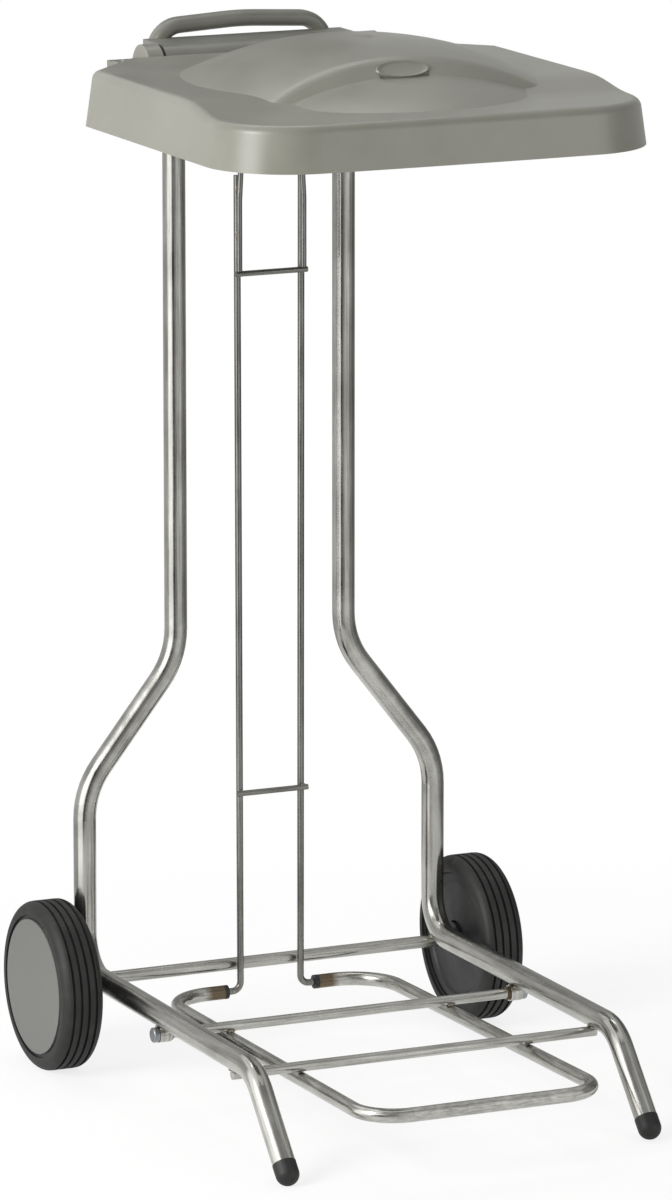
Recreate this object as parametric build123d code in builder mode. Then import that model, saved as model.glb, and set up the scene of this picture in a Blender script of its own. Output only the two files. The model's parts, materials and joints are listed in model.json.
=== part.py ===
from build123d import *
import math
import os

os.makedirs("parts", exist_ok=True)

# Axes: the push pedal is at the front, towards -Y, the wheels and handle at the back.
# Every length is in millimetres and the floor is at z = 0.

# Side tubes
tube_d = 20.0
tube_wall = 1.5
upper_half_gap = 81.0
lower_half_gap = 169.0
upper_bend_z = 357.0
lower_bend_z = 245.0
rail_z = 82.4
rail_length = 366.0
leg_angle = 47.6
shoulder_bend_r = 75.0
heel_bend_r = 35.0
knee_bend_r = 45.0
tube_top_z = 884.0

# Rubber feet
foot_d = 20.4
foot_flat = 0.6
foot_head = 10.0
foot_stem = 20.0
foot_fit = 0.1

# Welded joints
weld_seat = 0.3

# Wheels and axle
wheel_d = 150.0
wheel_w = 38.0
wheel_inner_x = 184.6
tyre_shoulder_r = 9.0
groove_w = 2.4
groove_depth = 2.2
groove_pitch = 7.0
groove_count = 4
rim_d = 126.0
hub_cap_d = 119.0
hub_cap_t = 3.0
hub_cap_skirt = 2.0
hub_cap_fit = 0.1
rim_ring_t = 3.4
rim_ring_inset = 2.0
rim_web = 5.0
rim_web_depth = 7.6
hub_d = 30.0
axle_d = 11.0
axle_play = 0.08
clip_d = 20.0
clip_t = 1.5
spacer_d = 18.0
spacer_gap = 0.4
spoke_count = 6
spoke_t = 4.0
spoke_inset = 12.0
axle_end_reach = 2.5

# Cross rods and pivot sleeves
front_rod_d = 9.0
front_rod_back = 324.0
front_rod_half = 171.0
pivot_rod_d = 9.0
pivot_back = 170.6
sleeve_d = 14.0
sleeve_w = 11.0
sleeve_x = 162.4
pivot_play = 0.09
ring_t = 1.6
ring_d = 12.0
pivot_cap_d = 13.0
pivot_cap_w = 5.0
pivot_side_gap = 0.3

# Foot pedal
pedal_d = 12.4
pedal_wall = 1.5
pedal_rear_half = 104.5
pedal_front_half = 108.5
pedal_front = 470.0
pedal_rear = 21.2
pedal_rear_bend_r = 44.0
pedal_front_bend_r = 36.0
pedal_stop_gap = 0.3
pedal_end_half = 46.0
bush_flange_d = 12.4
bush_flange_t = 4.0
bush_stem = 14.0
bush_fit = 0.1

# Push rods
wire_d = 6.0
wire_half_low = 29.2
wire_half_top = 30.6
wire_top_z = 784.0
wire_end_reach = 12.0
wire_elbow_r = 8.0
wire_play = 0.08
yoke_d = 5.0
yoke_half_top = 25.0
yoke_straight_z = 762.0
yoke_bend_r = 8.0
yoke_top_z = 868.0
rung_d = 5.0
rung_half = 34.0
rung_low_z = 234.0
rung_high_z = 698.0

# Hinge of the lid
hinge_back = 0.0
hinge_z = 880.0
hinge_pin_d = 6.0
hinge_pin_inner = 91.4
hinge_pin_end = 1.6
hinge_play = 0.06
ear_r = 20.0
ear_x = 97.0
ear_w = 14.0
ear_gap = 2.5
ear_arm_h = 20.0
ear_arm_reach = 27.0
cheek_w = 14.5
cheek_r = 8.0

# Lid
lid_half = 198.0
lid_front = 412.0
lid_corner_back = 80.0
lid_rear = 16.0
lid_notch_half = 36.0
lid_notch_top_z = 880.0
lid_notch_depth = 14.0
lid_rear_half = 137.0
lid_low_z = 845.0
lid_top_z = 893.0
lid_front_z = 884.0
lid_wave_back = 262.0
lid_wave_front = 348.0
lid_wave_pull = 0.45
lid_draft = 8.0
lid_wall = 3.0
lid_front_corner_r = 74.0
lid_rear_corner_r = 12.0
lid_edge_r = 8.0
lid_bow = 4.0

# Raised crest and dish of the lid
crest_r = 345.0
crest_z = 927.0
crest_back = 203.0
crest_front_r = 480.0
crest_slope_angle = 40.0
crest_front_back = 272.0
crest_roll_r = 22.0
crest_foot_z = 870.0
dish_r = 400.0
dish_z = 911.0
dish_back = 226.0
dimple_d = 42.0
dimple_back = 214.0
dimple_depth = 1.6
finger_mark_d = 46.0
finger_mark_back = 300.0
finger_mark_depth = 1.2

# Head with handle
head_half = 94.0
head_front = 13.0
head_rear = 17.0
head_low_z = 850.0
head_barrel_r = 19.5
head_wall = 3.0
head_cavity_half = 64.0
head_rear_low_z = 866.0
head_edge_r = 4.0
socket_fit = 0.1
rear_beam_front = 23.0
rear_beam_rear = 36.0
rear_beam_low_z = 857.0
rear_beam_top_z = 883.0
handle_half = 80.5
handle_w = 17.0
handle_t = 14.0
handle_round = 6.0
handle_top_z = 912.5
handle_rise = 4.5
handle_bow_r = 260.0
handle_foot_z = 866.0
handle_bend_r = 24.0
handle_overlap = 3.0

# Bag ring and its carriers
ring_rod_d = 8.0
bag_ring_half = 178.0
bag_ring_front = 390.0
bag_ring_rear = 42.0
bag_ring_z = 856.0
bag_ring_corner_r = 60.0
carrier_t = 4.0
carrier_h = 14.0
carrier_top_z = 841.0
carrier_nose = 8.0

# Lever under the lid
lever_pad_t = 5.0
lever_half = 24.0
lever_plate_t = 3.0
lever_plate_rear = 31.0
lever_plate_front = 62.0
lever_foot_front = 50.0
lever_lug_x = 10.0
lever_lug_t = 4.0
lever_slot_h = 9.0
lever_slot_reach = 6.4
lever_lug_margin = 3.0
lever_clearance_r = 21.5

# Screws
screw_d = 4.0
screw_head_d = 8.0
screw_head_t = 2.5
lever_screw_length = 9.0
lever_screw_x = 18.5
lever_screw_back = [38.0, 55.0]
head_screw_length = 9.0
head_screw_z = 858.0
screw_fit = 0.1

# Derived places: the origin is under the middle of the object
tube_r = tube_d / 2
wheel_r = wheel_d / 2
pedal_r = pedal_d / 2
front_reach = pedal_front + pedal_r
heel_centre_z = rail_z + heel_bend_r
axle_to_heel = heel_bend_r + tube_r + axle_d / 2 - weld_seat
wheel_back = heel_bend_r - math.sqrt(axle_to_heel**2 - (heel_centre_z - wheel_r) ** 2)
rear_reach = wheel_r - wheel_back
upright_y = (front_reach - rear_reach) / 2
axle_y = upright_y - wheel_back
pivot_y = upright_y - pivot_back
pivot_z = rail_z - tube_r - sleeve_d / 2 + weld_seat
front_rod_y = upright_y - front_rod_back
front_rod_z = rail_z - tube_r - front_rod_d / 2 + weld_seat
knee_y = upright_y - rail_length
hinge_y = upright_y - hinge_back
wire_y = upright_y - pedal_rear
rung_y = wire_y - (wire_d + rung_d) / 2 + weld_seat
yoke_y = wire_y - (wire_d + yoke_d) / 2 + weld_seat
wheel_outer_x = wheel_inner_x + wheel_w
SIDES = {"left": -1, "right": 1}


# Height of the pedal's centre line at a distance in front of the uprights
def pedal_z(back):
    at_pivot = pivot_z - pivot_rod_d / 2 - pedal_r + weld_seat
    at_stop = front_rod_z - front_rod_d / 2 - pedal_stop_gap - pedal_r
    slope = (at_stop - at_pivot) / (front_rod_back - pivot_back)
    return at_pivot + slope * (back - pivot_back)


def keep(piece, name):
    piece.part.label = name
    export_step(piece.part, f"parts/{name}.step")


# Leg geometry shared by the side tubes and the feet
leg_cos = math.cos(math.radians(leg_angle))
leg_sin = math.sin(math.radians(leg_angle))
foot_centre_z = foot_d / 2 - foot_flat
leg_run = (rail_z - foot_centre_z) / leg_sin
foot_centre_y = knee_y - leg_run * leg_cos
tube_end_y = foot_centre_y + foot_head * leg_cos
tube_end_z = foot_centre_z + foot_head * leg_sin


# Side tubes: upright, shoulder, lower upright, rail and front leg in one bent tube
def side_tube(side):
    points = [
        (side * upper_half_gap, upright_y, tube_top_z),
        (side * upper_half_gap, upright_y, upper_bend_z),
        (side * lower_half_gap, upright_y, lower_bend_z),
        (side * lower_half_gap, upright_y, rail_z),
        (side * lower_half_gap, knee_y, rail_z),
        (side * lower_half_gap, tube_end_y, tube_end_z),
    ]
    radii = [shoulder_bend_r, shoulder_bend_r, heel_bend_r, knee_bend_r]
    with BuildPart() as tube:
        with BuildLine() as route:
            FilletPolyline(*points, radius=radii)
        with BuildSketch(Plane(route.line @ 0, z_dir=route.line % 0)):
            Circle(tube_r)
            Circle(tube_r - tube_wall, mode=Mode.SUBTRACT)
        sweep()
    return tube


# Rubber foot: a round nose with a stem pushed into the leg
def rubber_foot(side):
    nose = Plane(
        origin=(side * lower_half_gap, foot_centre_y, foot_centre_z),
        x_dir=(1, 0, 0),
        z_dir=(0, leg_cos, leg_sin),
    )
    stem_r = tube_r - tube_wall - foot_fit
    with BuildPart() as foot:
        with BuildSketch(Plane(nose.origin, x_dir=(1, 0, 0), z_dir=(0, -leg_sin, leg_cos))) as section:
            with BuildLine():
                Line((0, -foot_d / 2), (0, foot_head + foot_stem))
                Line((0, foot_head + foot_stem), (stem_r, foot_head + foot_stem))
                Line((stem_r, foot_head + foot_stem), (stem_r, foot_head))
                Line((stem_r, foot_head), (foot_d / 2, foot_head))
                Line((foot_d / 2, foot_head), (foot_d / 2, 0))
                RadiusArc((foot_d / 2, 0), (0, -foot_d / 2), foot_d / 2)
            make_face()
        revolve(axis=Axis(nose.origin, nose.z_dir))
        split(bisect_by=Plane.XY, keep=Keep.TOP)
    return foot




# Straight round bar along X between two X values
def cross_bar(x_from, x_to, y, z, diameter):
    with BuildPart() as bar:
        with BuildSketch(Plane.YZ.offset(x_from)):
            with Locations((y, z)):
                Circle(diameter / 2)
        extrude(amount=x_to - x_from)
    return bar


# Round washer or sleeve along X, on a bar
def sleeve(x_from, x_to, y, z, outer_d, bore_d):
    with BuildPart() as ring:
        with BuildSketch(Plane.YZ.offset(x_from)):
            with Locations((y, z)):
                Circle(outer_d / 2)
                Circle(bore_d / 2, mode=Mode.SUBTRACT)
        extrude(amount=x_to - x_from)
    return ring


# Section of a wheel part, with distances from the wheel's inner face and from its axis
def turned(side, points):
    start_x = side * wheel_inner_x
    with BuildPart() as turned_part:
        with BuildSketch(Plane((start_x, axle_y, wheel_r), x_dir=(side, 0, 0), z_dir=(0, -side, 0))):
            with BuildLine():
                Polyline(*points, close=True)
            make_face()
        revolve(axis=Axis((start_x, axle_y, wheel_r), (1, 0, 0)))
    return turned_part


# Solid tyre with rounded shoulders and running grooves
def tyre(side):
    seat_r = rim_d / 2
    start_x = side * wheel_inner_x
    with BuildPart() as tread:
        with BuildSketch(Plane((start_x, axle_y, wheel_r), x_dir=(side, 0, 0), z_dir=(0, -side, 0))) as section:
            with Locations((wheel_w / 2, (seat_r + wheel_r) / 2)):
                Rectangle(wheel_w, wheel_r - seat_r)
            fillet(section.vertices().group_by(Axis.Y)[-1], radius=tyre_shoulder_r)
            first = wheel_w / 2 - groove_pitch * (groove_count - 1) / 2
            with Locations(*[(first + groove_pitch * i, wheel_r) for i in range(groove_count)]):
                Rectangle(groove_w, groove_depth * 2, mode=Mode.SUBTRACT)
        revolve(axis=Axis((start_x, axle_y, wheel_r), (1, 0, 0)))
    return tread


# Wheel body: outer ring, web near the outer face, hub and ribs on the inner side
def wheel_body(side):
    ring_r = rim_d / 2
    ring_inner_r = ring_r - rim_ring_t
    web_out = wheel_w - rim_web_depth
    web_in = web_out - rim_web
    bore_r = axle_d / 2 + axle_play
    points = [
        (spacer_gap, bore_r),
        (web_out, bore_r),
        (web_out, ring_inner_r),
        (wheel_w - rim_ring_inset, ring_inner_r),
        (wheel_w - rim_ring_inset, ring_r),
        (rim_ring_inset, ring_r),
        (rim_ring_inset, ring_inner_r),
        (web_in, ring_inner_r),
        (web_in, hub_d / 2),
        (spacer_gap, hub_d / 2),
    ]
    body = turned(side, points)
    with BuildPart() as wheel:
        add(body.part)
        spoke_in = wheel_inner_x + spoke_inset
        spoke_out = wheel_inner_x + web_in + weld_seat
        spoke_mid = side * (spoke_in + spoke_out) / 2
        spoke_r = (ring_inner_r + hub_d / 2) / 2
        with Locations(Plane((spoke_mid, axle_y, wheel_r), x_dir=(0, 1, 0), z_dir=(1, 0, 0))):
            with PolarLocations(spoke_r, spoke_count):
                Box(ring_inner_r - hub_d / 2 + 2 * weld_seat, spoke_t, spoke_out - spoke_in)
    return wheel


# Flat hub cap: a disc with a skirt that snaps into the wheel body
def hub_cap(side):
    cap_r = hub_cap_d / 2
    seat_r = rim_d / 2 - rim_ring_t - hub_cap_fit
    web_out = wheel_w - rim_web_depth
    cap_back = wheel_w - hub_cap_t
    edge_r = min(cap_r, seat_r)
    points = [
        (cap_back, 0),
        (wheel_w, 0),
        (wheel_w, edge_r),
        (web_out, edge_r),
        (web_out, edge_r - hub_cap_skirt),
        (cap_back, edge_r - hub_cap_skirt),
    ]
    return turned(side, points)


for name, side in SIDES.items():
    keep(side_tube(side), f"{name}_side_tube")
    keep(rubber_foot(side), f"{name}_rubber_foot")

# Wheel axle, welded under the heel bends of both side tubes
axle_half = wheel_outer_x - rim_web_depth + axle_end_reach
keep(cross_bar(-axle_half, axle_half, axle_y, wheel_r, axle_d), "wheel_axle")

for name, side in SIDES.items():
    keep(tyre(side), f"{name}_tyre")
    keep(wheel_body(side), f"{name}_wheel_body")
    keep(hub_cap(side), f"{name}_hub_cap")
    tube_face = lower_half_gap + tube_r
    ends = sorted([side * tube_face, side * wheel_inner_x])
    keep(sleeve(*ends, axle_y, wheel_r, spacer_d, axle_d), f"{name}_axle_spacer")
    clip_x = wheel_outer_x - rim_web_depth + spacer_gap
    ends = sorted([side * clip_x, side * (clip_x + clip_t)])
    keep(sleeve(*ends, axle_y, wheel_r, clip_d, axle_d), f"{name}_axle_clip")

# Front cross rod under the rails, the upper stop of the pedal
keep(cross_bar(-front_rod_half, front_rod_half, front_rod_y, front_rod_z, front_rod_d), "front_cross_rod")

# Pedal pivot: sleeves under the rails, a rod that turns in them, rings and end caps on the rod
sleeve_out = sleeve_x + sleeve_w
cap_in = sleeve_out + pivot_side_gap
pivot_half = cap_in + pivot_cap_w / 2
keep(cross_bar(-pivot_half, pivot_half, pivot_y, pivot_z, pivot_rod_d), "pedal_pivot_rod")
for name, side in SIDES.items():
    ends = sorted([side * sleeve_x, side * sleeve_out])
    keep(sleeve(*ends, pivot_y, pivot_z, sleeve_d, pivot_rod_d + 2 * pivot_play), f"{name}_pivot_sleeve")
    ring_out = sleeve_x - pivot_side_gap
    ends = sorted([side * ring_out, side * (ring_out - ring_t)])
    keep(sleeve(*ends, pivot_y, pivot_z, ring_d, pivot_rod_d), f"{name}_pivot_ring")
    with BuildPart() as cap:
        with BuildSketch(Plane.YZ.offset(side * cap_in)):
            with Locations((pivot_y, pivot_z)):
                Circle(pivot_cap_d / 2)
        extrude(amount=side * pivot_cap_w)
        fillet(cap.faces().sort_by(Axis.X)[0 if side < 0 else -1].edges(), radius=pivot_cap_w / 4)
        with BuildSketch(Plane.YZ.offset(side * cap_in)):
            with Locations((pivot_y, pivot_z)):
                Circle(pivot_rod_d / 2)
        extrude(amount=side * (pivot_half - cap_in), mode=Mode.SUBTRACT)
    keep(cap, f"{name}_pivot_cap")

# Foot pedal: one bent tube, open between its rear ends
pedal_rear_z = pedal_z(pedal_rear)
pedal_front_z = pedal_z(pedal_front)
pedal_rear_y = upright_y - pedal_rear
pedal_front_y = upright_y - pedal_front
pedal_points = [
    (-pedal_end_half, pedal_rear_y, pedal_rear_z),
    (-pedal_rear_half, pedal_rear_y, pedal_rear_z),
    (-pedal_front_half, pedal_front_y, pedal_front_z),
    (pedal_front_half, pedal_front_y, pedal_front_z),
    (pedal_rear_half, pedal_rear_y, pedal_rear_z),
    (pedal_end_half, pedal_rear_y, pedal_rear_z),
]
pedal_bends = [pedal_rear_bend_r, pedal_front_bend_r, pedal_front_bend_r, pedal_rear_bend_r]
with BuildPart() as pedal:
    with BuildLine() as route:
        FilletPolyline(*pedal_points, radius=pedal_bends)
    with BuildSketch(Plane(route.line @ 0, z_dir=route.line % 0)):
        Circle(pedal_r)
        Circle(pedal_r - pedal_wall, mode=Mode.SUBTRACT)
    sweep()
keep(pedal, "foot_pedal")

# Bushes in the rear ends of the pedal
bush_stem_d = pedal_d - 2 * pedal_wall - bush_fit
for name, side in SIDES.items():
    with BuildPart() as bush:
        with BuildSketch(Plane.YZ.offset(side * pedal_end_half)):
            with Locations((pedal_rear_y, pedal_rear_z)):
                Circle(bush_stem_d / 2)
        extrude(amount=side * bush_stem)
        with BuildSketch(Plane.YZ.offset(side * pedal_end_half)):
            with Locations((pedal_rear_y, pedal_rear_z)):
                Circle(bush_flange_d / 2)
        extrude(amount=-side * bush_flange_t)
        with BuildSketch(Plane.YZ.offset(side * (pedal_end_half - bush_flange_t))):
            with Locations((pedal_rear_y, pedal_rear_z)):
                Circle(wire_d / 2 + wire_play)
        extrude(amount=side * (bush_flange_t + bush_stem), mode=Mode.SUBTRACT)
    keep(bush, f"{name}_pedal_bush")

# Long push wires with elbows that turn in the bushes
for name, side in SIDES.items():
    with BuildPart() as wire:
        with BuildLine() as route:
            FilletPolyline(
                (side * (pedal_end_half + wire_end_reach), wire_y, pedal_rear_z),
                (side * wire_half_low, wire_y, pedal_rear_z),
                (side * wire_half_top, wire_y, wire_top_z),
                radius=wire_elbow_r,
            )
        with BuildSketch(Plane(route.line @ 0, z_dir=route.line % 0)):
            Circle(wire_d / 2)
        sweep()
    keep(wire, f"{name}_push_wire")

keep(cross_bar(-rung_half, rung_half, rung_y, rung_low_z, rung_d), "lower_rung")
keep(cross_bar(-rung_half, rung_half, rung_y, rung_high_z, rung_d), "upper_rung")

# Yoke: one wire bent over at the top, standing on the upper rung
yoke_foot_z = rung_high_z + rung_d / 2 - weld_seat
with BuildPart() as yoke:
    with BuildLine() as route:
        FilletPolyline(
            (-wire_half_top, yoke_y, yoke_foot_z),
            (-wire_half_top, yoke_y, yoke_straight_z),
            (-yoke_half_top, yoke_y, yoke_top_z),
            (yoke_half_top, yoke_y, yoke_top_z),
            (wire_half_top, yoke_y, yoke_straight_z),
            (wire_half_top, yoke_y, yoke_foot_z),
            radius=yoke_bend_r,
        )
    with BuildSketch(Plane(route.line @ 0, z_dir=route.line % 0)):
        Circle(yoke_d / 2)
    sweep()
keep(yoke, "yoke_wire")


# Lid without its ears; the inset makes the smaller body that hollows it out
def lid_body(inset):
    top_z = lid_top_z - inset
    front_z = lid_front_z - inset
    with BuildPart() as cover:
        with BuildSketch(Plane.XY.offset(lid_low_z)) as outline:
            side_front_y = upright_y - lid_front + lid_bow
            side_rear_y = upright_y - lid_corner_back
            rear_y = upright_y - lid_rear
            with BuildLine():
                Polyline(
                    (lid_half, side_front_y),
                    (lid_half, side_rear_y),
                    (lid_rear_half, rear_y),
                    (-lid_rear_half, rear_y),
                    (-lid_half, side_rear_y),
                    (-lid_half, side_front_y),
                )
                ThreePointArc(
                    (-lid_half, side_front_y),
                    (0, upright_y - lid_front),
                    (lid_half, side_front_y),
                )
            make_face()
            fillet(outline.vertices().group_by(Axis.Y)[-1], radius=lid_rear_corner_r)
            fillet(outline.vertices().sort_by(Axis.Y)[2:4], radius=lid_rear_corner_r)
            fillet(outline.vertices().group_by(Axis.Y)[0], radius=lid_front_corner_r)
            if inset > 0:
                offset(amount=-inset, mode=Mode.REPLACE)
        extrude(amount=lid_top_z - lid_low_z + lid_wall, taper=lid_draft)
        with BuildSketch(Plane.YZ):
            rear_y = upright_y
            wave_rear_y = upright_y - lid_wave_back
            wave_front_y = upright_y - lid_wave_front
            front_y = upright_y - lid_front - lid_wall
            with BuildLine():
                Line((front_y, lid_low_z), (rear_y, lid_low_z))
                Line((rear_y, lid_low_z), (rear_y, top_z))
                Line((rear_y, top_z), (wave_rear_y, top_z))
                wave_pull = (wave_rear_y - wave_front_y) * lid_wave_pull
                Bezier(
                    (wave_rear_y, top_z),
                    (wave_rear_y - wave_pull, top_z),
                    (wave_front_y + wave_pull, front_z),
                    (wave_front_y, front_z),
                )
                Line((wave_front_y, front_z), (front_y, front_z))
                Line((front_y, front_z), (front_y, lid_low_z))
            make_face()
        extrude(amount=lid_half + lid_wall, both=True, mode=Mode.INTERSECT)
        rim_edges = [
            edge
            for edge in cover.edges()
            if edge.center().Z > front_z - 1
            and not (wave_front_y - 1 < edge.center().Y < wave_rear_y + 1 and abs(edge.center().X) < 1)
            and edge.center().Y < upright_y - lid_rear - 1
        ]
        fillet(rim_edges, radius=lid_edge_r - inset)
        add(crest_body(inset).part)
        add(dish_body(inset).part)
        cut_r = head_barrel_r + ear_gap + inset
        with Locations((0, hinge_y, hinge_z)):
            Cylinder(
                cut_r,
                2 * (head_half + ear_gap + inset),
                rotation=(0, 90, 0),
                mode=Mode.SUBTRACT,
            )
    return cover


# Raised crest: a flat dome cut off at its front by a sloping, slightly curved wall
def crest_body(inset):
    centre_z = crest_z - crest_r
    with BuildPart() as crest:
        with Locations((0, upright_y - crest_back, centre_z)):
            Sphere(crest_r - inset)
        wall_centre_y = upright_y - crest_front_back + crest_front_r
        wall_h = crest_z - crest_foot_z
        wall_run = wall_h / math.tan(math.radians(crest_slope_angle))
        with Locations((0, wall_centre_y, crest_foot_z)):
            Cone(
                crest_front_r + wall_run - inset,
                crest_front_r - inset,
                wall_h,
                align=(Align.CENTER, Align.CENTER, Align.MIN),
                mode=Mode.INTERSECT,
            )
        split(bisect_by=Plane.XY.offset(crest_foot_z), keep=Keep.TOP)
        top_edges = crest.edges().filter_by(lambda edge: edge.center().Z > crest_foot_z + 1)
        fillet(top_edges, radius=crest_roll_r - inset)
    return crest


# Lower dome in front of the crest
def dish_body(inset):
    centre_z = dish_z - dish_r
    with BuildPart() as dish:
        with Locations((0, upright_y - dish_back, centre_z)):
            Sphere(dish_r - inset)
        split(bisect_by=Plane.XY.offset(crest_foot_z), keep=Keep.TOP)
    return dish


# Lid: hollow cover with two ears, a screw pad for the lever and a notch for the yoke
pad_top_z = lid_top_z - lid_wall + weld_seat
pad_low_z = lid_top_z - lid_wall - lever_pad_t
lid_hollow = lid_body(lid_wall)
lid_shell = lid_body(0)
with BuildPart() as lid:
    add(lid_shell.part)
    add(lid_hollow.part, mode=Mode.SUBTRACT)
    notch_y = upright_y - lid_rear - lid_notch_depth
    with Locations((0, notch_y, lid_notch_top_z)):
        Box(
            2 * lid_notch_half,
            lid_notch_depth + lid_rear,
            lid_notch_top_z - lid_low_z + lid_wall,
            align=(Align.CENTER, Align.MIN, Align.MAX),
            mode=Mode.SUBTRACT,
        )
    with BuildSketch(Plane.XY.offset(pad_low_z)):
        with Locations((0, upright_y - (lever_plate_rear + lever_plate_front) / 2)):
            Rectangle(2 * lever_half, lever_plate_front - lever_plate_rear)
    extrude(amount=pad_top_z - pad_low_z)
    for side in SIDES.values():
        ear_mid = side * (ear_x + ear_w / 2)
        with Locations((ear_mid, hinge_y, hinge_z)):
            Cylinder(ear_r, ear_w, rotation=(0, 90, 0))
            with Locations((0, 0, ear_arm_h / 2 - ear_r + ear_arm_h / 2)):
                Box(ear_w, ear_arm_reach, ear_arm_h / 2, align=(Align.CENTER, Align.MAX, Align.MAX))
            Cylinder(hinge_pin_d / 2 + hinge_play, 2 * ear_w, rotation=(0, 90, 0), mode=Mode.SUBTRACT)
    for back in lever_screw_back:
        with Locations(*[(side * lever_screw_x, upright_y - back, pad_low_z) for side in SIDES.values()]):
            Cylinder(
                screw_d / 2,
                lever_screw_length - lever_plate_t,
                align=(Align.CENTER, Align.CENTER, Align.MIN),
                mode=Mode.SUBTRACT,
            )
    with Locations((0, upright_y - dimple_back, crest_z - dimple_depth + dimple_d)):
        Sphere(dimple_d, mode=Mode.SUBTRACT)
    mark_y = upright_y - finger_mark_back
    mark_rise = math.sqrt(dish_r**2 - (finger_mark_back - dish_back) ** 2)
    mark_z = dish_z - dish_r + mark_rise
    mark_plane = Plane(
        (0, mark_y, mark_z),
        x_dir=(1, 0, 0),
        z_dir=(0, dish_back - finger_mark_back, mark_rise),
    )
    with BuildSketch(mark_plane.offset(-finger_mark_depth)):
        Circle(finger_mark_d / 2)
    extrude(amount=finger_mark_depth * 4, mode=Mode.SUBTRACT)
keep(lid, "lid")

# Lever plate with two forks that lie around the top of the yoke
plate_top_z = pad_low_z
plate_low_z = plate_top_z - lever_plate_t
fork_run = hinge_y - yoke_y
fork_drop = hinge_z - yoke_top_z
fork_reach = math.hypot(fork_run, fork_drop)
fork_angle = math.degrees(math.atan2(fork_drop, fork_run))
fork_end = fork_reach + lever_slot_reach
fork_tip = fork_end + lever_lug_margin
with BuildPart() as lever:
    with BuildSketch(Plane.XY.offset(plate_low_z)):
        with Locations((0, upright_y - (lever_plate_rear + lever_plate_front) / 2)):
            Rectangle(2 * lever_half, lever_plate_front - lever_plate_rear)
    extrude(amount=lever_plate_t)
    for side in SIDES.values():
        with BuildSketch(Plane.YZ.offset(side * lever_lug_x - lever_lug_t / 2)):
            foot_y = upright_y - (lever_plate_rear + lever_foot_front) / 2
            with Locations((foot_y, plate_low_z + lever_plate_t / 4)):
                Rectangle(lever_foot_front - lever_plate_rear, lever_plate_t / 2)
            with Locations(Location((hinge_y, hinge_z, 0), (0, 0, fork_angle))):
                with Locations((-(lever_clearance_r + fork_tip) / 2, 0)):
                    Rectangle(fork_tip - lever_clearance_r, lever_slot_h + 2 * lever_lug_margin)
            make_hull()
            with Locations(Location((hinge_y, hinge_z, 0), (0, 0, fork_angle))):
                with Locations((-fork_end / 2, 0)):
                    Rectangle(fork_end, lever_slot_h, mode=Mode.SUBTRACT)
                Circle(lever_clearance_r, mode=Mode.SUBTRACT)
        extrude(amount=lever_lug_t)
    for back in lever_screw_back:
        with Locations(*[(side * lever_screw_x, upright_y - back, plate_low_z) for side in SIDES.values()]):
            Cylinder(
                screw_d / 2 + screw_fit,
                lever_plate_t,
                align=(Align.CENTER, Align.CENTER, Align.MIN),
                mode=Mode.SUBTRACT,
            )
keep(lever, "lid_lever")

# Four screws that hold the lever plate to the lid
with BuildPart() as lever_screws:
    for back in lever_screw_back:
        with Locations(*[(side * lever_screw_x, upright_y - back, plate_low_z) for side in SIDES.values()]):
            Cylinder(screw_d / 2, lever_screw_length, align=(Align.CENTER, Align.CENTER, Align.MIN))
            Cylinder(screw_head_d / 2, screw_head_t, align=(Align.CENTER, Align.CENTER, Align.MAX))
keep(lever_screws, "lever_screws")

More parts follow.
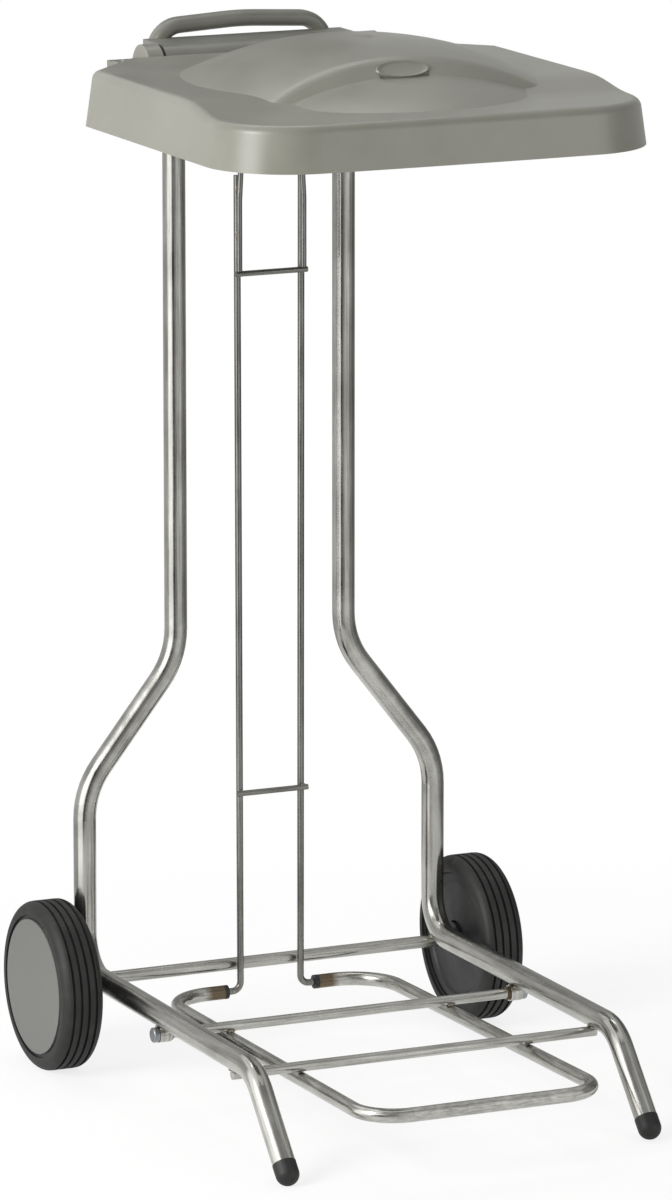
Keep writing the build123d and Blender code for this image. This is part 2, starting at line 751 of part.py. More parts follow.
# Head: barrel round the hinge axis, sockets for the uprights, cheeks and handle in one moulding
handle_y = upright_y + rear_beam_rear + handle_w / 2 - handle_overlap
with BuildPart() as head:
    with BuildSketch(Plane.YZ):
        with Locations((hinge_y, hinge_z)):
            Circle(head_barrel_r)
        with BuildLine():
            Polyline(
                (upright_y - head_front, head_low_z),
                (upright_y + head_rear, head_low_z),
                (upright_y + head_rear, head_rear_low_z),
                (upright_y + rear_beam_rear, head_rear_low_z),
                (upright_y + rear_beam_rear, hinge_z + head_barrel_r),
                (hinge_y, hinge_z + head_barrel_r),
                (hinge_y, hinge_z),
                (upright_y - head_front, hinge_z),
                close=True,
            )
        make_face()
    extrude(amount=head_half, both=True)
    with BuildSketch(Plane.YZ):
        with Locations((hinge_y, hinge_z)):
            Circle(head_barrel_r - head_wall)
        with BuildLine():
            Polyline(
                (upright_y - head_front + head_wall, head_low_z),
                (upright_y + head_rear - head_wall, head_low_z),
                (upright_y + head_rear - head_wall, head_rear_low_z + head_wall),
                (upright_y + rear_beam_rear - head_wall, head_rear_low_z + head_wall),
                (upright_y + rear_beam_rear - head_wall, hinge_z + head_barrel_r - head_wall),
                (hinge_y, hinge_z + head_barrel_r - head_wall),
                (hinge_y, hinge_z),
                (upright_y - head_front + head_wall, hinge_z),
                close=True,
            )
        make_face()
    extrude(amount=head_cavity_half, both=True, mode=Mode.SUBTRACT)
    with Locations(*[(side * upper_half_gap, upright_y, head_low_z) for side in SIDES.values()]):
        Cylinder(
            tube_r + socket_fit,
            tube_top_z - head_low_z,
            align=(Align.CENTER, Align.CENTER, Align.MIN),
            mode=Mode.SUBTRACT,
        )
    cheek_in = ear_x + ear_w + ear_gap
    cheek_out = cheek_in + cheek_w
    for side in SIDES.values():
        beam_ends = sorted([side * (head_half - head_wall), side * cheek_out])
        with BuildSketch(Plane.YZ.offset(beam_ends[0])):
            with Locations((upright_y + (rear_beam_front + rear_beam_rear) / 2, (rear_beam_low_z + rear_beam_top_z) / 2)):
                Rectangle(rear_beam_rear - rear_beam_front, rear_beam_top_z - rear_beam_low_z)
        extrude(amount=beam_ends[1] - beam_ends[0])
        cheek_ends = sorted([side * cheek_in, side * cheek_out])
        with BuildSketch(Plane.YZ.offset(cheek_ends[0])):
            with Locations((hinge_y, hinge_z)):
                Circle(cheek_r)
            with Locations((upright_y + (rear_beam_front - hinge_back) / 2, hinge_z - cheek_r / 4)):
                Rectangle(rear_beam_front + hinge_back, cheek_r * 3 / 2)
        extrude(amount=cheek_w)
    with BuildLine() as handle_route:
        FilletPolyline(
            (-handle_half, handle_y, handle_foot_z),
            (-handle_half, handle_y, handle_top_z - handle_rise),
            (0, handle_y, handle_top_z),
            (handle_half, handle_y, handle_top_z - handle_rise),
            (handle_half, handle_y, handle_foot_z),
            radius=[handle_bend_r, handle_bow_r, handle_bend_r],
        )
    with BuildSketch(Plane(handle_route.line @ 0, x_dir=(1, 0, 0), z_dir=(0, 0, 1))):
        RectangleRounded(handle_t, handle_w, handle_round)
    sweep()
    for side in SIDES.values():
        pin_ends = sorted([side * hinge_pin_inner, side * (cheek_out - hinge_pin_end)])
        with BuildSketch(Plane.YZ.offset(pin_ends[0])):
            with Locations((hinge_y, hinge_z)):
                Circle(hinge_pin_d / 2)
        extrude(amount=pin_ends[1] - pin_ends[0], mode=Mode.SUBTRACT)
    with Locations(*[(side * upper_half_gap, upright_y + head_rear, head_screw_z) for side in SIDES.values()]):
        Cylinder(
            screw_d / 2 + screw_fit,
            head_rear - tube_r + socket_fit,
            rotation=(90, 0, 0),
            align=(Align.CENTER, Align.CENTER, Align.MIN),
            mode=Mode.SUBTRACT,
        )
keep(head, "head_with_handle")

# Two screws through the head into the uprights
with BuildPart() as head_screws:
    with Locations(*[(side * upper_half_gap, upright_y + head_rear, head_screw_z) for side in SIDES.values()]):
        Cylinder(
            screw_d / 2,
            head_rear - tube_r - 2 * socket_fit,
            rotation=(90, 0, 0),
            align=(Align.CENTER, Align.CENTER, Align.MIN),
        )
        Cylinder(
            screw_head_d / 2,
            screw_head_t,
            rotation=(90, 0, 0),
            align=(Align.CENTER, Align.CENTER, Align.MAX),
        )
keep(head_screws, "head_screws")

# Hinge pins, fixed in the head, on which the ears of the lid turn
for name, side in SIDES.items():
    pin_ends = sorted([side * hinge_pin_inner, side * (cheek_out - hinge_pin_end)])
    keep(cross_bar(*pin_ends, hinge_y, hinge_z, hinge_pin_d), f"{name}_hinge_pin")

# Bag ring: a closed rod loop hidden inside the skirt of the lid
with BuildPart() as bag_ring:
    ring_front_y = upright_y - bag_ring_front
    ring_rear_y = upright_y - bag_ring_rear
    with BuildLine() as route:
        FilletPolyline(
            (bag_ring_half, ring_rear_y, bag_ring_z),
            (bag_ring_half, ring_front_y, bag_ring_z),
            (-bag_ring_half, ring_front_y, bag_ring_z),
            (-bag_ring_half, ring_rear_y, bag_ring_z),
            radius=bag_ring_corner_r,
            close=True,
        )
    with BuildSketch(Plane(route.line @ 0, z_dir=route.line % 0)):
        Circle(ring_rod_d / 2)
    sweep()
keep(bag_ring, "bag_ring")

# Flat carriers from the uprights to the ring, running under the rear edge of the lid
for name, side in SIDES.items():
    carrier_rear_y = upright_y - tube_r + weld_seat
    nose_y = upright_y - bag_ring_rear
    with BuildPart() as carrier:
        with BuildSketch(Plane.YZ.offset(side * upper_half_gap - carrier_t / 2)):
            with BuildLine():
                Polyline(
                    (carrier_rear_y, carrier_top_z - carrier_h),
                    (carrier_rear_y, carrier_top_z),
                    (nose_y + carrier_nose / 2, carrier_top_z),
                    (nose_y + carrier_nose / 2, bag_ring_z - ring_rod_d / 2 + weld_seat),
                    (nose_y - carrier_nose / 2, bag_ring_z - ring_rod_d / 2 + weld_seat),
                    (nose_y - carrier_nose / 2, carrier_top_z - carrier_h),
                    close=True,
                )
            make_face()
        extrude(amount=carrier_t)
    keep(carrier, f"{name}_ring_carrier")
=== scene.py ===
# %% [markdown]
# A stand that holds an open waste bag under a lid, and lifts the lid with a foot pedal. Its solids come
# from the CAD model with every piece in its place, so the work here is the camera, the finishes, and the
# details that a CAD model leaves out: weld beads, ribs, the inner dishes of the wheels and a finger mark.

import json
import math

import bpy
from mathutils import Matrix, Vector


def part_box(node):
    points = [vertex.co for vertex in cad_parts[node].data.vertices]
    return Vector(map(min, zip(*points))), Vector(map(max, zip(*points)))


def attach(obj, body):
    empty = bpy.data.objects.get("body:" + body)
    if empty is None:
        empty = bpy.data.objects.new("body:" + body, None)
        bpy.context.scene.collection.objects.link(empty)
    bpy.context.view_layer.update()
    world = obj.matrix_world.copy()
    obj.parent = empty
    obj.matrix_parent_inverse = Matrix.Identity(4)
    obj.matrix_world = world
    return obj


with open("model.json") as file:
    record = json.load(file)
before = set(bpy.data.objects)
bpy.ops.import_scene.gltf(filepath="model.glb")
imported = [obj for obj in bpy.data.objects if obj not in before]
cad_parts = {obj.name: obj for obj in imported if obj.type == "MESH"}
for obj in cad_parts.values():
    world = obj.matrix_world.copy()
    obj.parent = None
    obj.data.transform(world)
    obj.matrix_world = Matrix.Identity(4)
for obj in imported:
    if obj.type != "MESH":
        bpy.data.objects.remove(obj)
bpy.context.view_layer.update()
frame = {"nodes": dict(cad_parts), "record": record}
nodes = frame["nodes"]
MM = 0.001
print("pieces from the CAD model:", len(nodes))

# %% [markdown]
# The camera stands low and far away, like a product photographer's long lens, a little to the left of the
# stand's front. Its place was fitted to the edges of the tubes, the wheels and the lid.

# %% Camera
camera_place = (-2.6665, -5.7753, 1.7753)
down_degrees = 11.857
right_degrees = 24.619
scene = bpy.context.scene
scene.view_settings.view_transform = "Standard"
bpy.ops.object.select_all(action="DESELECT")
bpy.ops.object.camera_add(
    location=camera_place,
    rotation=(math.radians(90 - down_degrees), 0, math.radians(-right_degrees)),
)
camera = bpy.context.object
camera.name = "camera"
camera.data.lens = 227.55
camera.data.sensor_width = 36
camera.data.clip_end = 60
scene.camera = camera
print("lens in mm:", camera.data.lens)

# %% [markdown]
# Colours are written as they look on a screen and turned to the linear values that light is added up in.
# Every material below grows from one small function that adds a node, sets it and links it. Sizes of
# grain and bumps are given in millimetres.


# %% Colour and node helpers
def linear(code):
    channels = [int(code[i : i + 2], 16) / 255 for i in (0, 2, 4)]
    return tuple(c / 12.92 if c <= 0.04045 else ((c + 0.055) / 1.055) ** 2.4 for c in channels) + (1.0,)


def add_node(tree, kind, links=None, **settings):
    node = tree.nodes.new(kind)
    for name, value in settings.items():
        if hasattr(node, name):
            setattr(node, name, value)
        else:
            node.inputs[name.replace("_", " ")].default_value = value
    for socket, source in (links or {}).items():
        tree.links.new(source, node.inputs[socket])
    return node


def maths(tree, operation, *values):
    node = add_node(tree, "ShaderNodeMath", operation=operation)
    for socket, value in zip(node.inputs, values):
        if isinstance(value, bpy.types.NodeSocket):
            tree.links.new(value, socket)
        else:
            socket.default_value = value
    return node.outputs[0]


def remap(tree, source, old, new=(0.0, 1.0), interpolation_type="LINEAR"):
    node = add_node(tree, "ShaderNodeMapRange", {"Value": source}, From_Min=old[0], From_Max=old[1])
    node.interpolation_type = interpolation_type
    node.inputs["To Min"].default_value = new[0]
    node.inputs["To Max"].default_value = new[1]
    return node.outputs[0]


def noise(tree, position, size_mm, detail, roughness=0.5):
    node = add_node(tree, "ShaderNodeTexNoise", {"Vector": position}, Scale=1000 / size_mm)
    node.inputs["Detail"].default_value = detail
    node.inputs["Roughness"].default_value = roughness
    return node.outputs["Fac"]


def colour_ramp(tree, source, stops):
    ramp = add_node(tree, "ShaderNodeValToRGB", {"Fac": source})
    for index, (place, code) in enumerate(stops):
        stop = ramp.color_ramp.elements[index] if index < 2 else ramp.color_ramp.elements.new(place)
        stop.position = place
        stop.color = linear(code)
    return ramp.outputs["Color"]


def add_bump(tree, shader, height, strength, depth_mm):
    bump = add_node(tree, "ShaderNodeBump", {"Height": height}, Strength=strength, Distance=depth_mm * MM)
    tree.links.new(bump.outputs["Normal"], shader.inputs["Normal"])


def white_glow(tree, strength):
    return add_node(tree, "ShaderNodeEmission", Color=(1, 1, 1, 1), Strength=strength).outputs[0]


def new_material(name):
    material = bpy.data.materials.new(name)
    material.use_nodes = True
    tree = material.node_tree
    position = add_node(tree, "ShaderNodeTexCoord").outputs["Object"]
    return material, tree, tree.nodes["Principled BSDF"], position


# %% [markdown]
# A pale floor lies under the object and the world behind it is white. To the camera the floor glows, and
# more so further out, so that it becomes the white of a studio sweep but keeps the shadow near the object.
# In reflections it glows less, or the undersides of the tubes would turn white. The white world shows to
# the camera and in reflections, while the light that it sheds on the object is a weak fill.

# %% Floor and world
shadow_zone = (0.35, 1.1)
glow_over_shadow = 0.8
mirrored_glow = 0.4
fill_strength = 0.32
bpy.ops.object.select_all(action="DESELECT")
bpy.ops.mesh.primitive_plane_add(size=14, location=(0, 0, 0))
floor = bpy.context.object
floor.name = "studio_floor"
bpy.ops.object.mode_set(mode="EDIT")
bpy.ops.mesh.select_all(action="SELECT")
bpy.ops.mesh.subdivide(number_cuts=3)
bpy.ops.object.mode_set(mode="OBJECT")
paper, tree, shader, position = new_material("matt_studio_paper")
mottle = add_node(tree, "ShaderNodeTexNoise", {"Vector": position}, Scale=6.0, Detail=3.0)
tone = colour_ramp(tree, mottle.outputs["Fac"], [(0.3, "fbfbfa"), (0.7, "fefefd")])
tree.links.new(tone, shader.inputs["Base Color"])
shader.inputs["Roughness"].default_value = 0.9
reach = add_node(tree, "ShaderNodeVectorMath", {0: position}, operation="LENGTH").outputs["Value"]
fade = remap(tree, reach, shadow_zone, (glow_over_shadow, 1.0), "SMOOTHSTEP")
path = add_node(tree, "ShaderNodeLightPath")
mirrored = maths(tree, "MULTIPLY", path.outputs["Is Glossy Ray"], mirrored_glow)
seen = maths(tree, "MAXIMUM", path.outputs["Is Camera Ray"], mirrored)
share = maths(tree, "MULTIPLY", seen, fade)
mix = add_node(tree, "ShaderNodeMixShader", {0: share, 1: shader.outputs[0], 2: white_glow(tree, 1.0)})
tree.links.new(mix.outputs[0], tree.nodes["Material Output"].inputs["Surface"])
floor.data.materials.append(paper)

world = bpy.data.worlds.new("studio")
scene.world = world
world.use_nodes = True
tree = world.node_tree
tree.nodes.clear()
path = add_node(tree, "ShaderNodeLightPath")
seen = maths(tree, "MAXIMUM", path.outputs["Is Camera Ray"], path.outputs["Is Glossy Ray"])
fill = add_node(tree, "ShaderNodeBackground", Color=(1, 1, 1, 1), Strength=fill_strength)
white = add_node(tree, "ShaderNodeBackground", Color=(1, 1, 1, 1), Strength=1.0)
mix = add_node(tree, "ShaderNodeMixShader", {0: seen, 1: fill.outputs[0], 2: white.outputs[0]})
add_node(tree, "ShaderNodeOutputWorld", {"Surface": mix.outputs[0]})
print("world:", world.name)

# %% [markdown]
# Polished tubes look like what stands around them. The studio therefore has two rings of panels that only
# reflections see. In the lower one, a bright narrow panel on the left draws the white stripe of each tube,
# a dark one beside it the thin dark line, and grey ones make its body. The upper one lights the tops.
# Each band is given by the angle in degrees where it ends, counted from the camera, and its strength.

# %% Rings of panels
panel_ring_r = 0.8
panel_split_z = 0.75
panel_top_z = 2.0
view_turn = math.atan2(camera.location.y, camera.location.x)


def ring_of_panels(name, low_z, high_z, bands):
    bpy.ops.object.select_all(action="DESELECT")
    bpy.ops.mesh.primitive_cylinder_add(
        vertices=180,
        radius=panel_ring_r,
        depth=high_z - low_z,
        end_fill_type="NOTHING",
        location=(0, 0, (low_z + high_z) / 2),
    )
    ring = bpy.context.object
    ring.name = name
    bpy.ops.object.mode_set(mode="EDIT")
    bpy.ops.mesh.select_all(action="SELECT")
    bpy.ops.mesh.flip_normals()
    bpy.ops.object.mode_set(mode="OBJECT")
    for end, strength in bands:
        panel = bpy.data.materials.new(f"{name}_to_{end}")
        panel.use_nodes = True
        tree = panel.node_tree
        tree.links.new(white_glow(tree, strength), tree.nodes["Material Output"].inputs["Surface"])
        ring.data.materials.append(panel)
    for face in ring.data.polygons:
        turn = math.degrees(math.atan2(face.center.y, face.center.x) - view_turn)
        turn = (turn + 180) % 360 - 180
        face.material_index = next(i for i, (end, _) in enumerate(bands) if turn <= end)
    ring.visible_camera = False
    ring.visible_diffuse = False
    ring.visible_shadow = False


lower_bands = [(-150, 0.35), (-84, 0.62), (-38, 1.75), (-14, 0.06), (10, 0.36), (72, 0.72), (108, 0.34)]
lower_bands += [(150, 0.2), (180, 0.36)]
ring_of_panels("lower_panels", 0, panel_split_z, lower_bands)
upper_bands = [(-150, 0.22), (-30, 1.15), (60, 0.4), (180, 0.62)]
ring_of_panels("upper_panels", panel_split_z, panel_top_z, upper_bands)
print("panels:", len(lower_bands) + len(upper_bands))

# %% [markdown]
# Three soft lamps light the plastic: the main one on the left, a weaker one behind and above that draws
# the top of the lid, and one at the front right that lifts the skirt.


# %% Lamps
def soft_lamp(name, place, aim, size, watts):
    bpy.ops.object.light_add(type="AREA", location=place)
    lamp = bpy.context.object
    lamp.name = name
    lamp.data.size = size
    lamp.data.energy = watts
    lamp.rotation_euler = (Vector(aim) - Vector(place)).to_track_quat("-Z", "Y").to_euler()


soft_lamp("left_softbox", place=(-3.2, -0.9, 1.9), aim=(0, 0, 0.6), size=1.6, watts=125)
soft_lamp("top_softbox", place=(0.2, 1.7, 3.0), aim=(0, 0, 0.6), size=2.0, watts=34)
soft_lamp("front_softbox", place=(2.3, -3.7, 1.3), aim=(0, 0, 0.8), size=1.8, watts=34)

# %% [markdown]
# The tubes, rods and wires are drawn stainless steel, ground and brushed along their length. Brushing
# leaves long fine streaks, some duller than others, and handling leaves softer patches. The noise is
# stretched along the bar, so bars that run across have a finish of their own. At the slanting shoulders
# the streaks fade into the patches, because there they would run across the tube.

# %% Metals
PATCH_MM = 45
PATCH_SHARE = 0.35
SHOULDER_Z = (0.225, 0.385)
CALM_FADE = 0.03
ALONG_TUBES = (1.0, 0.03, 0.03)
ALONG_PEDAL = (0.2, 0.06, 1.0)
ACROSS = (0.03, 1.0, 1.0)
UPRIGHT = (1.0, 1.0, 0.03)
EVEN = (0.3, 0.3, 0.3)


def brushed_metal(name, light, dark, rough, streak_mm, stretch, bump_mm, calm_z=None):
    material, tree, shader, position = new_material(name)
    drawn = add_node(tree, "ShaderNodeMapping", {"Vector": position}, Scale=stretch).outputs[0]
    streaks = noise(tree, drawn, streak_mm, detail=3.0, roughness=0.6)
    patches = noise(tree, position, PATCH_MM, detail=4.0, roughness=0.6)
    mix = add_node(tree, "ShaderNodeMix", {2: streaks, 3: patches}, data_type="FLOAT")
    mix.inputs[0].default_value = PATCH_SHARE
    if calm_z:
        half_height = (calm_z[1] - calm_z[0]) / 2
        height = add_node(tree, "ShaderNodeSeparateXYZ", {0: position}).outputs["Z"]
        away = maths(tree, "ABSOLUTE", maths(tree, "SUBTRACT", height, (calm_z[0] + calm_z[1]) / 2))
        calm = remap(tree, away, (half_height, half_height + CALM_FADE), (1.0, PATCH_SHARE))
        tree.links.new(calm, mix.inputs[0])
    pattern = mix.outputs[0]
    tree.links.new(colour_ramp(tree, pattern, [(0.38, dark), (0.62, light)]), shader.inputs["Base Color"])
    tree.links.new(remap(tree, pattern, (0.35, 0.65), rough), shader.inputs["Roughness"])
    shader.inputs["Metallic"].default_value = 1.0
    add_bump(tree, shader, pattern, strength=0.25, depth_mm=bump_mm)
    return material


brushed_stainless = brushed_metal(
    "brushed_stainless_tube", light="c4c3be", dark="9c9b95", rough=(0.13, 0.26),
    streak_mm=2.2, stretch=ALONG_TUBES, bump_mm=0.012, calm_z=SHOULDER_Z,
)
cross_stainless = brushed_metal(
    "brushed_stainless_rod", light="c6c5c0", dark="9d9c96", rough=(0.16, 0.3),
    streak_mm=1.8, stretch=ACROSS, bump_mm=0.012,
)
pedal_stainless = brushed_metal(
    "heat_tinted_pedal_tube", light="c6c5c0", dark="9d9c96", rough=(0.15, 0.28),
    streak_mm=1.8, stretch=ALONG_PEDAL, bump_mm=0.012,
)
drawn_wire = brushed_metal(
    "drawn_steel_wire", light="92918c", dark="6f6e6a", rough=(0.22, 0.32),
    streak_mm=1.2, stretch=UPRIGHT, bump_mm=0.006,
)
drawn_rung = brushed_metal(
    "drawn_steel_rung", light="8d8c87", dark="6b6a66", rough=(0.22, 0.32),
    streak_mm=1.2, stretch=ACROSS, bump_mm=0.006,
)
bright_zinc = brushed_metal(
    "bright_zinc_plate", light="a2a4a6", dark="85878a", rough=(0.28, 0.42),
    streak_mm=1.5, stretch=EVEN, bump_mm=0.02,
)
bronze = brushed_metal(
    "oiled_bronze", light="6a5c44", dark="4a4032", rough=(0.35, 0.5),
    streak_mm=1.5, stretch=EVEN, bump_mm=0.02,
)
print("metals:", brushed_stainless.name, cross_stainless.name, pedal_stainless.name, bright_zinc.name)

# %% [markdown]
# The rear ends of the pedal are tinted brown, as heat leaves steel. The tint fades out with the distance
# from the stand's middle and is kept to the rear of the pedal.

# %% Heat tint of the pedal
tint_fade_x = (0.066, 0.058)
tint_fade_y = (0.14, 0.16)
tree = pedal_stainless.node_tree
shader = tree.nodes["Principled BSDF"]
plain_tone = shader.inputs["Base Color"].links[0].from_socket
position = add_node(tree, "ShaderNodeTexCoord").outputs["Object"]
split = add_node(tree, "ShaderNodeSeparateXYZ", {0: position})
near_end = remap(tree, maths(tree, "ABSOLUTE", split.outputs["X"]), tint_fade_x)
at_rear = remap(tree, split.outputs["Y"], tint_fade_y)
heated = maths(tree, "MULTIPLY", near_end, at_rear)
tint = add_node(tree, "ShaderNodeMix", {0: heated, 6: plain_tone}, data_type="RGBA")
tint.inputs[7].default_value = linear("6e6250")
tree.links.new(tint.outputs[2], shader.inputs["Base Color"])
print("heat tint on:", pedal_stainless.name)

# %% [markdown]
# The welds were made by melting a wire into the joint. The metal froze in small scales, and the heat left
# patches of straw tint, so the bead is darker and duller than the tube.

# %% Weld metal
weld_metal, tree, shader, position = new_material("heat_tinted_weld")
scales = noise(tree, position, size_mm=1.6, detail=3.0)
tint = colour_ramp(tree, scales, [(0.3, "6e665a"), (0.55, "98928a"), (0.75, "b3a58a")])
tree.links.new(tint, shader.inputs["Base Color"])
shader.inputs["Metallic"].default_value = 1.0
shader.inputs["Roughness"].default_value = 0.5
add_bump(tree, shader, scales, strength=0.6, depth_mm=0.3)
print("weld:", weld_metal.name)

# %% [markdown]
# The lid is moulded in grey polypropylene and the head in a stiffer nylon. The mould was spark eroded,
# which leaves a fine, even grain of about a millimetre and a soft sheen. A faint cloudiness in colour and
# sheen shows where the plastic flowed.


# %% Moulded plastics
def moulded_plastic(name, colours, rough, grain_mm, bump_mm, cloud_mm):
    material, tree, shader, position = new_material(name)
    cloud = noise(tree, position, cloud_mm, detail=5.0, roughness=0.55)
    tone = colour_ramp(tree, cloud, list(zip((0.25, 0.5, 0.75), colours)))
    tree.links.new(tone, shader.inputs["Base Color"])
    grain = add_node(tree, "ShaderNodeTexVoronoi", {"Vector": position}, Scale=1000 / grain_mm)
    add_bump(tree, shader, grain.outputs["Distance"], strength=0.4, depth_mm=bump_mm)
    sheen = remap(tree, cloud, (0.3, 0.7), (rough - 0.05, rough + 0.07))
    tree.links.new(sheen, shader.inputs["Roughness"])
    shader.inputs["IOR"].default_value = 1.49
    return material


lid_plastic = moulded_plastic(
    "grained_grey_polypropylene",
    colours=("79786e", "7f7e74", "848379"),
    rough=0.33,
    grain_mm=0.9,
    bump_mm=0.05,
    cloud_mm=70,
)
head_plastic = moulded_plastic(
    "grey_glass_filled_nylon",
    colours=("696961", "707068", "77776f"),
    rough=0.34,
    grain_mm=0.8,
    bump_mm=0.05,
    cloud_mm=40,
)
hub_plastic = moulded_plastic(
    "light_grey_hub_plastic",
    colours=("5f5f5c", "646461", "696966"),
    rough=0.42,
    grain_mm=1.2,
    bump_mm=0.02,
    cloud_mm=45,
)
black_plastic = moulded_plastic(
    "black_moulded_nylon",
    colours=("101010", "141414", "1a1a1a"),
    rough=0.5,
    grain_mm=0.8,
    bump_mm=0.04,
    cloud_mm=20,
)
print("plastics:", lid_plastic.name, head_plastic.name, hub_plastic.name, black_plastic.name)

# %% [markdown]
# The tyres are solid rubber on a floor that is never quite clean. Rubber is nearly black and scatters
# light widely. It carries grey dust, which the noise spreads unevenly, and fine lines, which run round the
# tyres between the moulded grooves.


# %% Rubbers
def worn_rubber(name, base, dust, dust_range, rough, line_mm):
    material, tree, shader, position = new_material(name)
    scuff = noise(tree, position, size_mm=14, detail=8.0, roughness=0.7)
    tone = colour_ramp(tree, scuff, [(dust_range[0], base), (dust_range[1], dust)])
    tree.links.new(tone, shader.inputs["Base Color"])
    pores = noise(tree, position, size_mm=0.9, detail=2.0)
    wave_scale = math.pi / (10 * line_mm * MM)
    lines = add_node(tree, "ShaderNodeTexWave", {"Vector": position}, Scale=wave_scale)
    height = maths(tree, "ADD", pores, lines.outputs["Fac"])
    add_bump(tree, shader, height, strength=0.5, depth_mm=0.12)
    shader.inputs["Roughness"].default_value = rough
    shader.inputs["IOR"].default_value = 1.45
    return material


tyre_rubber = worn_rubber(
    "dusty_tyre_rubber", base="181817", dust="2c2b29", dust_range=(0.45, 0.85), rough=0.6, line_mm=2.4
)
foot_rubber = worn_rubber(
    "black_foot_rubber", base="171716", dust="282726", dust_range=(0.5, 0.85), rough=0.55, line_mm=3.0
)
print("rubbers:", tyre_rubber.name, foot_rubber.name)

# %% [markdown]
# The CAD pieces keep their shapes. Each gets the finish of its real material, and faces that meet at less
# than 35 degrees are shaded as one smooth surface, so that tubes look round and moulded edges stay crisp.

# %% Finish the CAD pieces
smooth_angle = math.radians(35)
finish_of_slot = {
    "stainless_steel": brushed_stainless,
    "zinc_steel": bright_zinc,
    "screw_steel": bright_zinc,
    "grey_plastic": lid_plastic,
    "handle_grey_plastic": head_plastic,
    "light_grey_plastic": hub_plastic,
    "black_plastic": black_plastic,
    "black_rubber": foot_rubber,
    "tyre_rubber": tyre_rubber,
}
finish_of_node = {
    "foot_pedal": pedal_stainless,
    "left_pivot_cap": bright_zinc,
    "right_pivot_cap": bright_zinc,
    "right_pivot_ring": bronze,
    "wheel_axle": cross_stainless,
    "front_cross_rod": cross_stainless,
    "pedal_pivot_rod": cross_stainless,
    "lower_rung": drawn_rung,
    "upper_rung": drawn_rung,
    "yoke_wire": drawn_wire,
    "left_push_wire": drawn_wire,
    "right_push_wire": drawn_wire,
}
slot_of_node = {row["node"]: row["material_slot"] for row in frame["record"]["subparts"]}
bpy.ops.object.select_all(action="DESELECT")
for name, piece in nodes.items():
    finish = finish_of_node.get(name, finish_of_slot[slot_of_node[name]])
    if not piece.data.materials:
        piece.data.materials.append(finish)
    for index in range(len(piece.data.materials)):
        piece.data.materials[index] = finish
    piece.select_set(True)
    bpy.context.view_layer.objects.active = piece
bpy.ops.object.shade_smooth_by_angle(angle=smooth_angle)
bpy.ops.object.select_all(action="DESELECT")
print("finished CAD pieces:", len(nodes))

# %% [markdown]
# A weld bead is a short ridge with rounded ends. One is made from a sphere that a fine displacement
# roughens. It is copied to each joint, stretched along the line where the two bars touch and flattened,
# and the beads of one moving body become one piece.


# %% Weld beads
def master_bead():
    bpy.ops.object.select_all(action="DESELECT")
    bpy.ops.mesh.primitive_uv_sphere_add(segments=20, ring_count=12, radius=1.0, location=(0, 0, 0))
    bead = bpy.context.object
    bpy.ops.object.mode_set(mode="EDIT")
    bpy.ops.mesh.select_all(action="SELECT")
    bpy.ops.mesh.subdivide(number_cuts=1)
    bpy.ops.object.mode_set(mode="OBJECT")
    ripple = bpy.data.textures.new("bead_ripple", type="CLOUDS")
    ripple.noise_scale = 0.35
    rough = bead.modifiers.new("ripple", "DISPLACE")
    rough.texture = ripple
    rough.strength = 0.22
    bpy.ops.object.modifier_apply(modifier=rough.name)
    return bead


def lay_beads(name, body, places):
    laid = []
    for centre, half_sizes in places:
        bead = master.copy()
        bead.data = master.data.copy()
        bpy.context.collection.objects.link(bead)
        bead.scale = [size * MM for size in half_sizes]
        bead.location = centre
        laid.append(bead)
    bpy.ops.object.select_all(action="DESELECT")
    for bead in laid:
        bead.select_set(True)
    bpy.context.view_layer.objects.active = laid[0]
    bpy.ops.object.join()
    joined = bpy.context.object
    joined.name = name
    bpy.ops.object.transform_apply(location=True, rotation=True, scale=True)
    bpy.ops.object.shade_smooth()
    joined.data.materials.clear()
    joined.data.materials.append(weld_metal)
    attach(joined, body)
    bpy.ops.object.select_all(action="DESELECT")


master = master_bead()
print("faces in a bead:", len(master.data.polygons))

# %% [markdown]
# The cross rod, the pivot sleeves and the axle are welded to the rails, the pivot rod to the pedal, and
# the rungs and the yoke to the push wires. On the stand and the pedal a bead's place is given in shares
# of the bar's radius, away from its middle. A bead's three half sizes are in millimetres.


# %% Beads at the joints
def middle(name):
    low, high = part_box(name)
    return [(low[i] + high[i]) / 2 for i in range(3)]


def on_bar(name, x, share_y, share_z):
    low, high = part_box(name)
    radius = (high[2] - low[2]) / 2
    centre = middle(name)
    return (x, centre[1] + share_y * radius, centre[2] + share_z * radius)


rail_x = 0.169
axle_weld_gap = 0.0062
pedal_side_x = 0.1053
rung_weld_x = 0.0303
rung_weld_y = 0.0016
rung_weld_z = 0.0022
yoke_weld_x = 0.0325
yoke_weld_y = 0.0026
yoke_weld_drops = (0.012, 0.052)
rod_bead = (4.2, 1.7, 1.5)
sleeve_bead = (4.6, 2.0, 1.6)
axle_bead = (1.8, 3.6, 1.8)
pedal_bead = (3.4, 1.6, 1.4)
rung_bead = (2.2, 1.5, 1.1)
yoke_bead = (0.7, 0.9, 3.5)

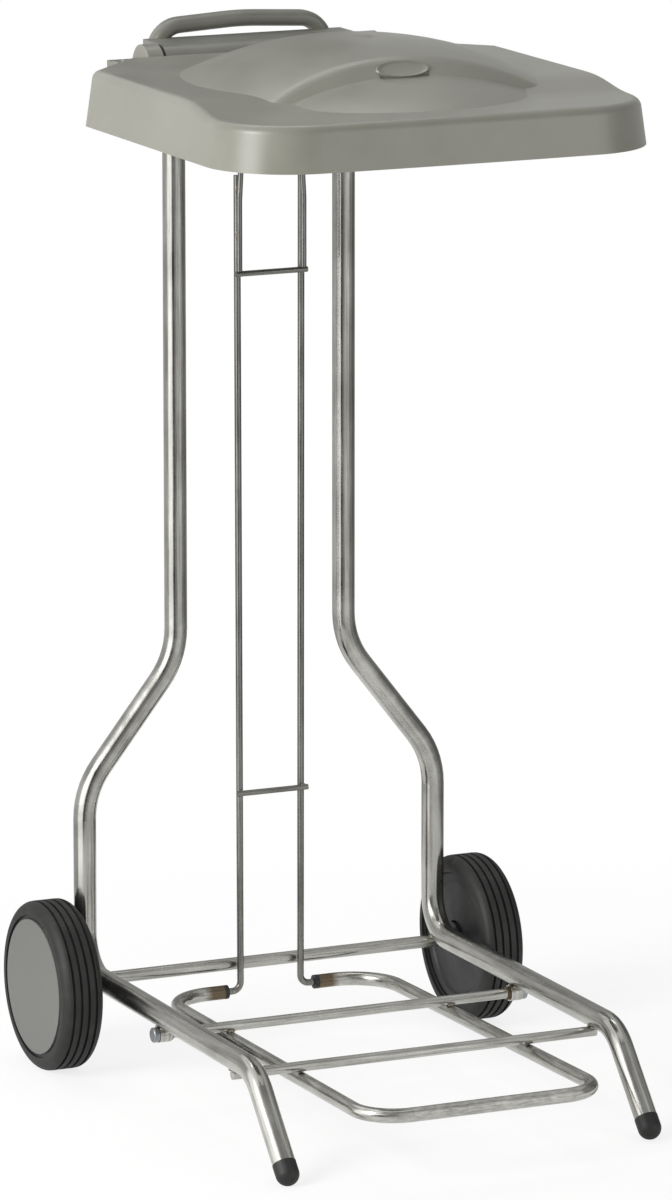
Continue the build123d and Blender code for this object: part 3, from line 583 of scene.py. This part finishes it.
stand_places = []
pedal_places = []
for side in (-1, 1):
    rail = side * rail_x
    for step in (-1, 1):
        stand_places.append((on_bar("front_cross_rod", rail, step * 0.75, 0.85), rod_bead))
        stand_places.append((on_bar("left_pivot_sleeve", rail, step * 0.7, 0.85), sleeve_bead))
        stand_places.append((on_bar("wheel_axle", rail + step * axle_weld_gap, -0.5, 0.85), axle_bead))
        pedal_places.append((on_bar("pedal_pivot_rod", side * pedal_side_x, step * 0.8, -0.8), pedal_bead))
rod_places = []
for name in ("lower_rung", "upper_rung"):
    rung = middle(name)
    for side in (-1, 1):
        for step in (-1, 1):
            at_rung = (side * rung_weld_x, rung[1] + rung_weld_y, rung[2] + step * rung_weld_z)
            rod_places.append((at_rung, rung_bead))
wire_y = middle("left_push_wire")[1]
wire_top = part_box("left_push_wire")[1][2]
for side in (-1, 1):
    for drop in yoke_weld_drops:
        rod_places.append(((side * yoke_weld_x, wire_y - yoke_weld_y, wire_top - drop), yoke_bead))
lay_beads("stand_weld_beads", "stand", stand_places)
lay_beads("pedal_weld_beads", "pedal", pedal_places)
lay_beads("push_rod_weld_beads", "push_rods", rod_places)
bpy.data.objects.remove(master)
print("beads:", len(stand_places) + len(pedal_places) + len(rod_places))

# %% [markdown]
# A moulded lid this wide would sag and twist, so its underside carries ribs. Each is a thin bar shaped
# from a cube: drawn out to its length, drafted so that the mould could let go, and rounded at its edges.

# %% Ribs under the lid
rib_top = 0.8903
rib_half_h = 0.003
rib_half_t = 0.0012
rib_draft = 0.55
rib_edge_r = 0.0004


def rib(name, x, y, half_length):
    bpy.ops.object.select_all(action="DESELECT")
    bpy.ops.mesh.primitive_cube_add(size=2, location=(x, y, rib_top - rib_half_h))
    piece = bpy.context.object
    piece.name = name
    piece.scale = (rib_half_t, half_length, rib_half_h)
    bpy.ops.object.transform_apply(location=True, rotation=True, scale=True)
    bpy.ops.object.mode_set(mode="EDIT")
    bpy.ops.mesh.select_all(action="DESELECT")
    bpy.ops.object.mode_set(mode="OBJECT")
    for face in piece.data.polygons:
        face.select = face.normal.z < -0.9
    bpy.ops.object.mode_set(mode="EDIT")
    bpy.ops.transform.resize(value=(rib_draft, 1, 1))
    bpy.ops.mesh.select_all(action="SELECT")
    bpy.ops.mesh.bevel(offset=rib_edge_r, segments=2)
    bpy.ops.object.mode_set(mode="OBJECT")
    bpy.ops.object.shade_smooth_by_angle(angle=smooth_angle)
    piece.data.materials.append(lid_plastic)
    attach(piece, "cover")


lid_rear_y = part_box("lid")[1][1]
for side, word in ((-1, "left"), (1, "right")):
    rib(f"{word}_lid_rib", x=side * 0.172, y=0.0325, half_length=0.0775)
    rib(f"{word}_lever_rib", x=side * 0.031, y=lid_rear_y - 0.087, half_length=0.017)

# %% [markdown]
# The inner side of each wheel is closed by a shallow moulded dish with a step in it. It is turned on a
# lathe: half of its section is drawn, spun once round the axle, and the seam is merged.


# %% Turned pieces
def turned(name, body, finish, centre, profile):
    points = [(x, centre[1], centre[2] + r) for x, r in profile]
    edges = [(i, (i + 1) % len(points)) for i in range(len(points))]
    mesh = bpy.data.meshes.new(name)
    mesh.from_pydata(points, edges, [])
    piece = bpy.data.objects.new(name, mesh)
    bpy.context.collection.objects.link(piece)
    bpy.ops.object.select_all(action="DESELECT")
    piece.select_set(True)
    bpy.context.view_layer.objects.active = piece
    bpy.ops.object.mode_set(mode="EDIT")
    bpy.ops.mesh.select_all(action="SELECT")
    bpy.ops.mesh.spin(steps=120, angle=2 * math.pi, center=(0, centre[1], centre[2]), axis=(1, 0, 0))
    bpy.ops.mesh.select_all(action="SELECT")
    bpy.ops.mesh.remove_doubles(threshold=0.00001)
    bpy.ops.mesh.normals_make_consistent(inside=False)
    bpy.ops.object.mode_set(mode="OBJECT")
    bpy.ops.object.shade_smooth_by_angle(angle=math.radians(30))
    piece.data.materials.append(finish)
    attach(piece, body)
    return piece


dish_section = [(3.2, 58.8), (3.2, 52), (5.0, 50), (5.6, 36), (4.2, 24), (3.4, 16.2), (4.8, 16.2), (5.6, 24)]
dish_section += [(7.0, 36), (6.4, 51), (4.8, 53), (4.8, 58.8)]
for side, word in ((-1, "left"), (1, "right")):
    low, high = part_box(f"{word}_tyre")
    inner_x = min(abs(low[0]), abs(high[0]))
    section = [(side * (inner_x + x * MM), r * MM) for x, r in dish_section]
    centre = middle(f"{word}_tyre")
    turned(f"{word}_wheel_inner_dish", f"{word}_wheel", black_plastic, centre, section)

# %% [markdown]
# A shallow oval saucer with a raised rim lies on the front slope of the crest, where a thumb finds the lid.
# It is turned as a round saucer, squeezed to an oval along the slope, and tilted by the slope's angle, so
# that its lower rim rests on the dish in front.

# %% Oval finger mark
slope = math.radians(40)
oval_share = 0.37
mark_middle = (0, -0.0890, 0.9088)
mark_section = [(-1.5, 0), (0.25, 0), (0.35, 18), (0.6, 21)]
mark_section += [(1.5, 22.8), (1.5, 23.6), (0.4, 24.5), (-1.5, 24.5)]
section = [(x * MM, r * MM) for x, r in mark_section]
mark = turned("lid_finger_mark", "cover", lid_plastic, (0, 0, 0), section)
outward = Vector((0, -math.sin(slope), math.cos(slope)))
sideways = Vector((1, 0, 0))
upward = outward.cross(sideways)
mark.rotation_euler = Matrix((outward, sideways, upward)).transposed().to_euler()
mark.scale = (1, 1, oval_share)
mark.location = mark_middle
bpy.ops.object.transform_apply(location=True, rotation=True, scale=True)
print("finger mark, width in mm:", round(mark.dimensions.x / MM, 1))
